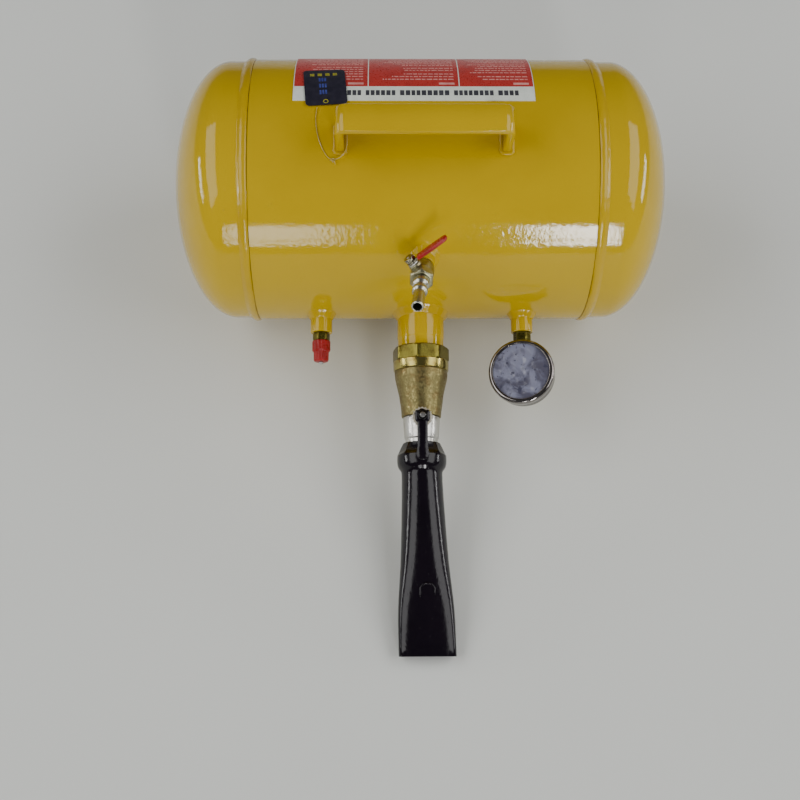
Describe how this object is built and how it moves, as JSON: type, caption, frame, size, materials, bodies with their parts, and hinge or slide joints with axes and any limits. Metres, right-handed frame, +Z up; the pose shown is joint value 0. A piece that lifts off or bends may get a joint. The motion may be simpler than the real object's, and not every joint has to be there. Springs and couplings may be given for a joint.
{
  "type": "bead seater blaster tank",
  "caption": "Portable welded air tank with carrying handle, quick-opening ball valve with flattened fan nozzle, lever fill valve with hose plug, safety valve and pressure gauge.",
  "frame": {"origin": "centre of the footprint, on the floor that the tank's end beads and the nozzle's lip rest on", "axes": "+X along the tank, +Y away from the nozzle, which points to -Y, +Z up"},
  "size_m": [0.452, 0.537, 0.2801],
  "materials": {
    "yellow_paint": "gloss, slight orange peel",
    "printed_label": "printed film",
    "brass": "machined",
    "nickel": "satin nickel plate",
    "chrome": "polished",
    "black_paint": "gloss",
    "steel": "machined",
    "ptfe": "smooth",
    "red_plastic": "semi-gloss",
    "clear_lens": "clear with protective film",
    "dial_face": "matt white",
    "black_card": "printed card",
    "nylon_thread": "clear nylon"
  },
  "bodies": {
    "tank": {"tank_shell": "yellow_paint", "head_left": "yellow_paint", "head_right": "yellow_paint", "weld_bead_left": "yellow_paint", "weld_bead_right": "yellow_paint", "handle": "yellow_paint", "handle_weld_left": "yellow_paint", "handle_weld_right": "yellow_paint", "neck_pipe": "yellow_paint", "neck_weld": "yellow_paint", "safety_bushing": "yellow_paint", "safety_bushing_weld": "yellow_paint", "gauge_bushing": "yellow_paint", "gauge_bushing_weld": "yellow_paint", "fill_bushing": "yellow_paint", "fill_bushing_weld": "yellow_paint", "label": "printed_label", "main_inlet_end": "brass", "fill_washer": "brass", "safety_body": "brass", "gauge_case": "brass", "gauge_socket": "brass", "gauge_bent_tube": "brass", "gauge_movement_plate": "brass", "main_valve_body": "nickel", "fill_valve_body": "nickel", "hose_plug": "nickel", "gauge_bezel": "chrome", "main_gland_nut": "black_paint", "nozzle": "black_paint", "safety_spring": "steel", "main_packing": "ptfe", "main_seat_inner": "ptfe", "main_seat_outer": "ptfe", "fill_seat_inner": "ptfe", "fill_seat_outer": "ptfe", "safety_cap": "red_plastic", "gauge_lens": "clear_lens", "gauge_dial": "dial_face", "hang_tag": "black_card", "tag_thread": "nylon_thread"},
    "main_lever_set": {"main_lever": "black_paint", "main_stem": "steel", "main_ball": "chrome", "main_lever_nut": "steel"},
    "fill_lever_set": {"fill_lever": "nickel", "fill_lever_sleeve": "red_plastic", "fill_stem": "steel", "fill_ball": "chrome", "fill_lever_nut": "nickel"},
    "safety_poppet_body": {"safety_poppet": "steel"},
    "gauge_sector_body": {"gauge_sector": "brass"},
    "gauge_pointer_body": {"gauge_pointer": "black_paint", "gauge_arbor": "brass"},
    "gauge_link_body": {"gauge_link": "brass"}
  },
  "joints": [
    {"name": "main_lever_turn", "type": "hinge", "parent": "tank", "child": "main_lever_set", "pos_m": [0, -0.07176, 0.08156], "axis": [0, -0.2673, 0.9636], "range_deg": [0, 90]},
    {"name": "fill_lever_turn", "type": "hinge", "parent": "tank", "child": "fill_lever_set", "pos_m": [-0.00898, 0.02162, 0.18844], "axis": [0.6655, -0.3718, -0.6473], "range_deg": [0, 90]},
    {"name": "safety_lift", "type": "slide", "parent": "tank", "child": "safety_poppet_body", "axis": [0, -0.9636, -0.2673], "range_m": [0, 0.0025], "stiffness_N_per_m": 4000, "springref_m": -0.00325, "deforming": ["safety_spring"]},
    {"name": "gauge_sector_turn", "type": "hinge", "parent": "tank", "child": "gauge_sector_body", "pos_m": [0.0925, -0.03957, 0.07306], "axis": [-0.2419, -0.2594, 0.935], "range_deg": [0, 33.75], "stiffness_Nm_per_rad": 0.002, "springref_deg": -11.46},
    {"name": "gauge_pointer_turn", "type": "hinge", "parent": "tank", "child": "gauge_pointer_body", "pos_m": [0.09248, -0.02442, 0.07737], "axis": [-0.2419, -0.2594, 0.935], "range_deg": [-270, 0]},
    {"name": "gauge_link_turn", "type": "hinge", "parent": "gauge_sector_body", "child": "gauge_link_body", "pos_m": [0.08738, -0.03953, 0.07293], "axis": [-0.2419, -0.2594, 0.935], "range_deg": [-33.75, 0]}
  ],
  "couplings": [
    {"joint": "gauge_pointer_turn", "follows": "gauge_sector_turn", "ratio": -8},
    {"joint": "gauge_link_turn", "follows": "gauge_sector_turn", "ratio": -1}
  ]
}
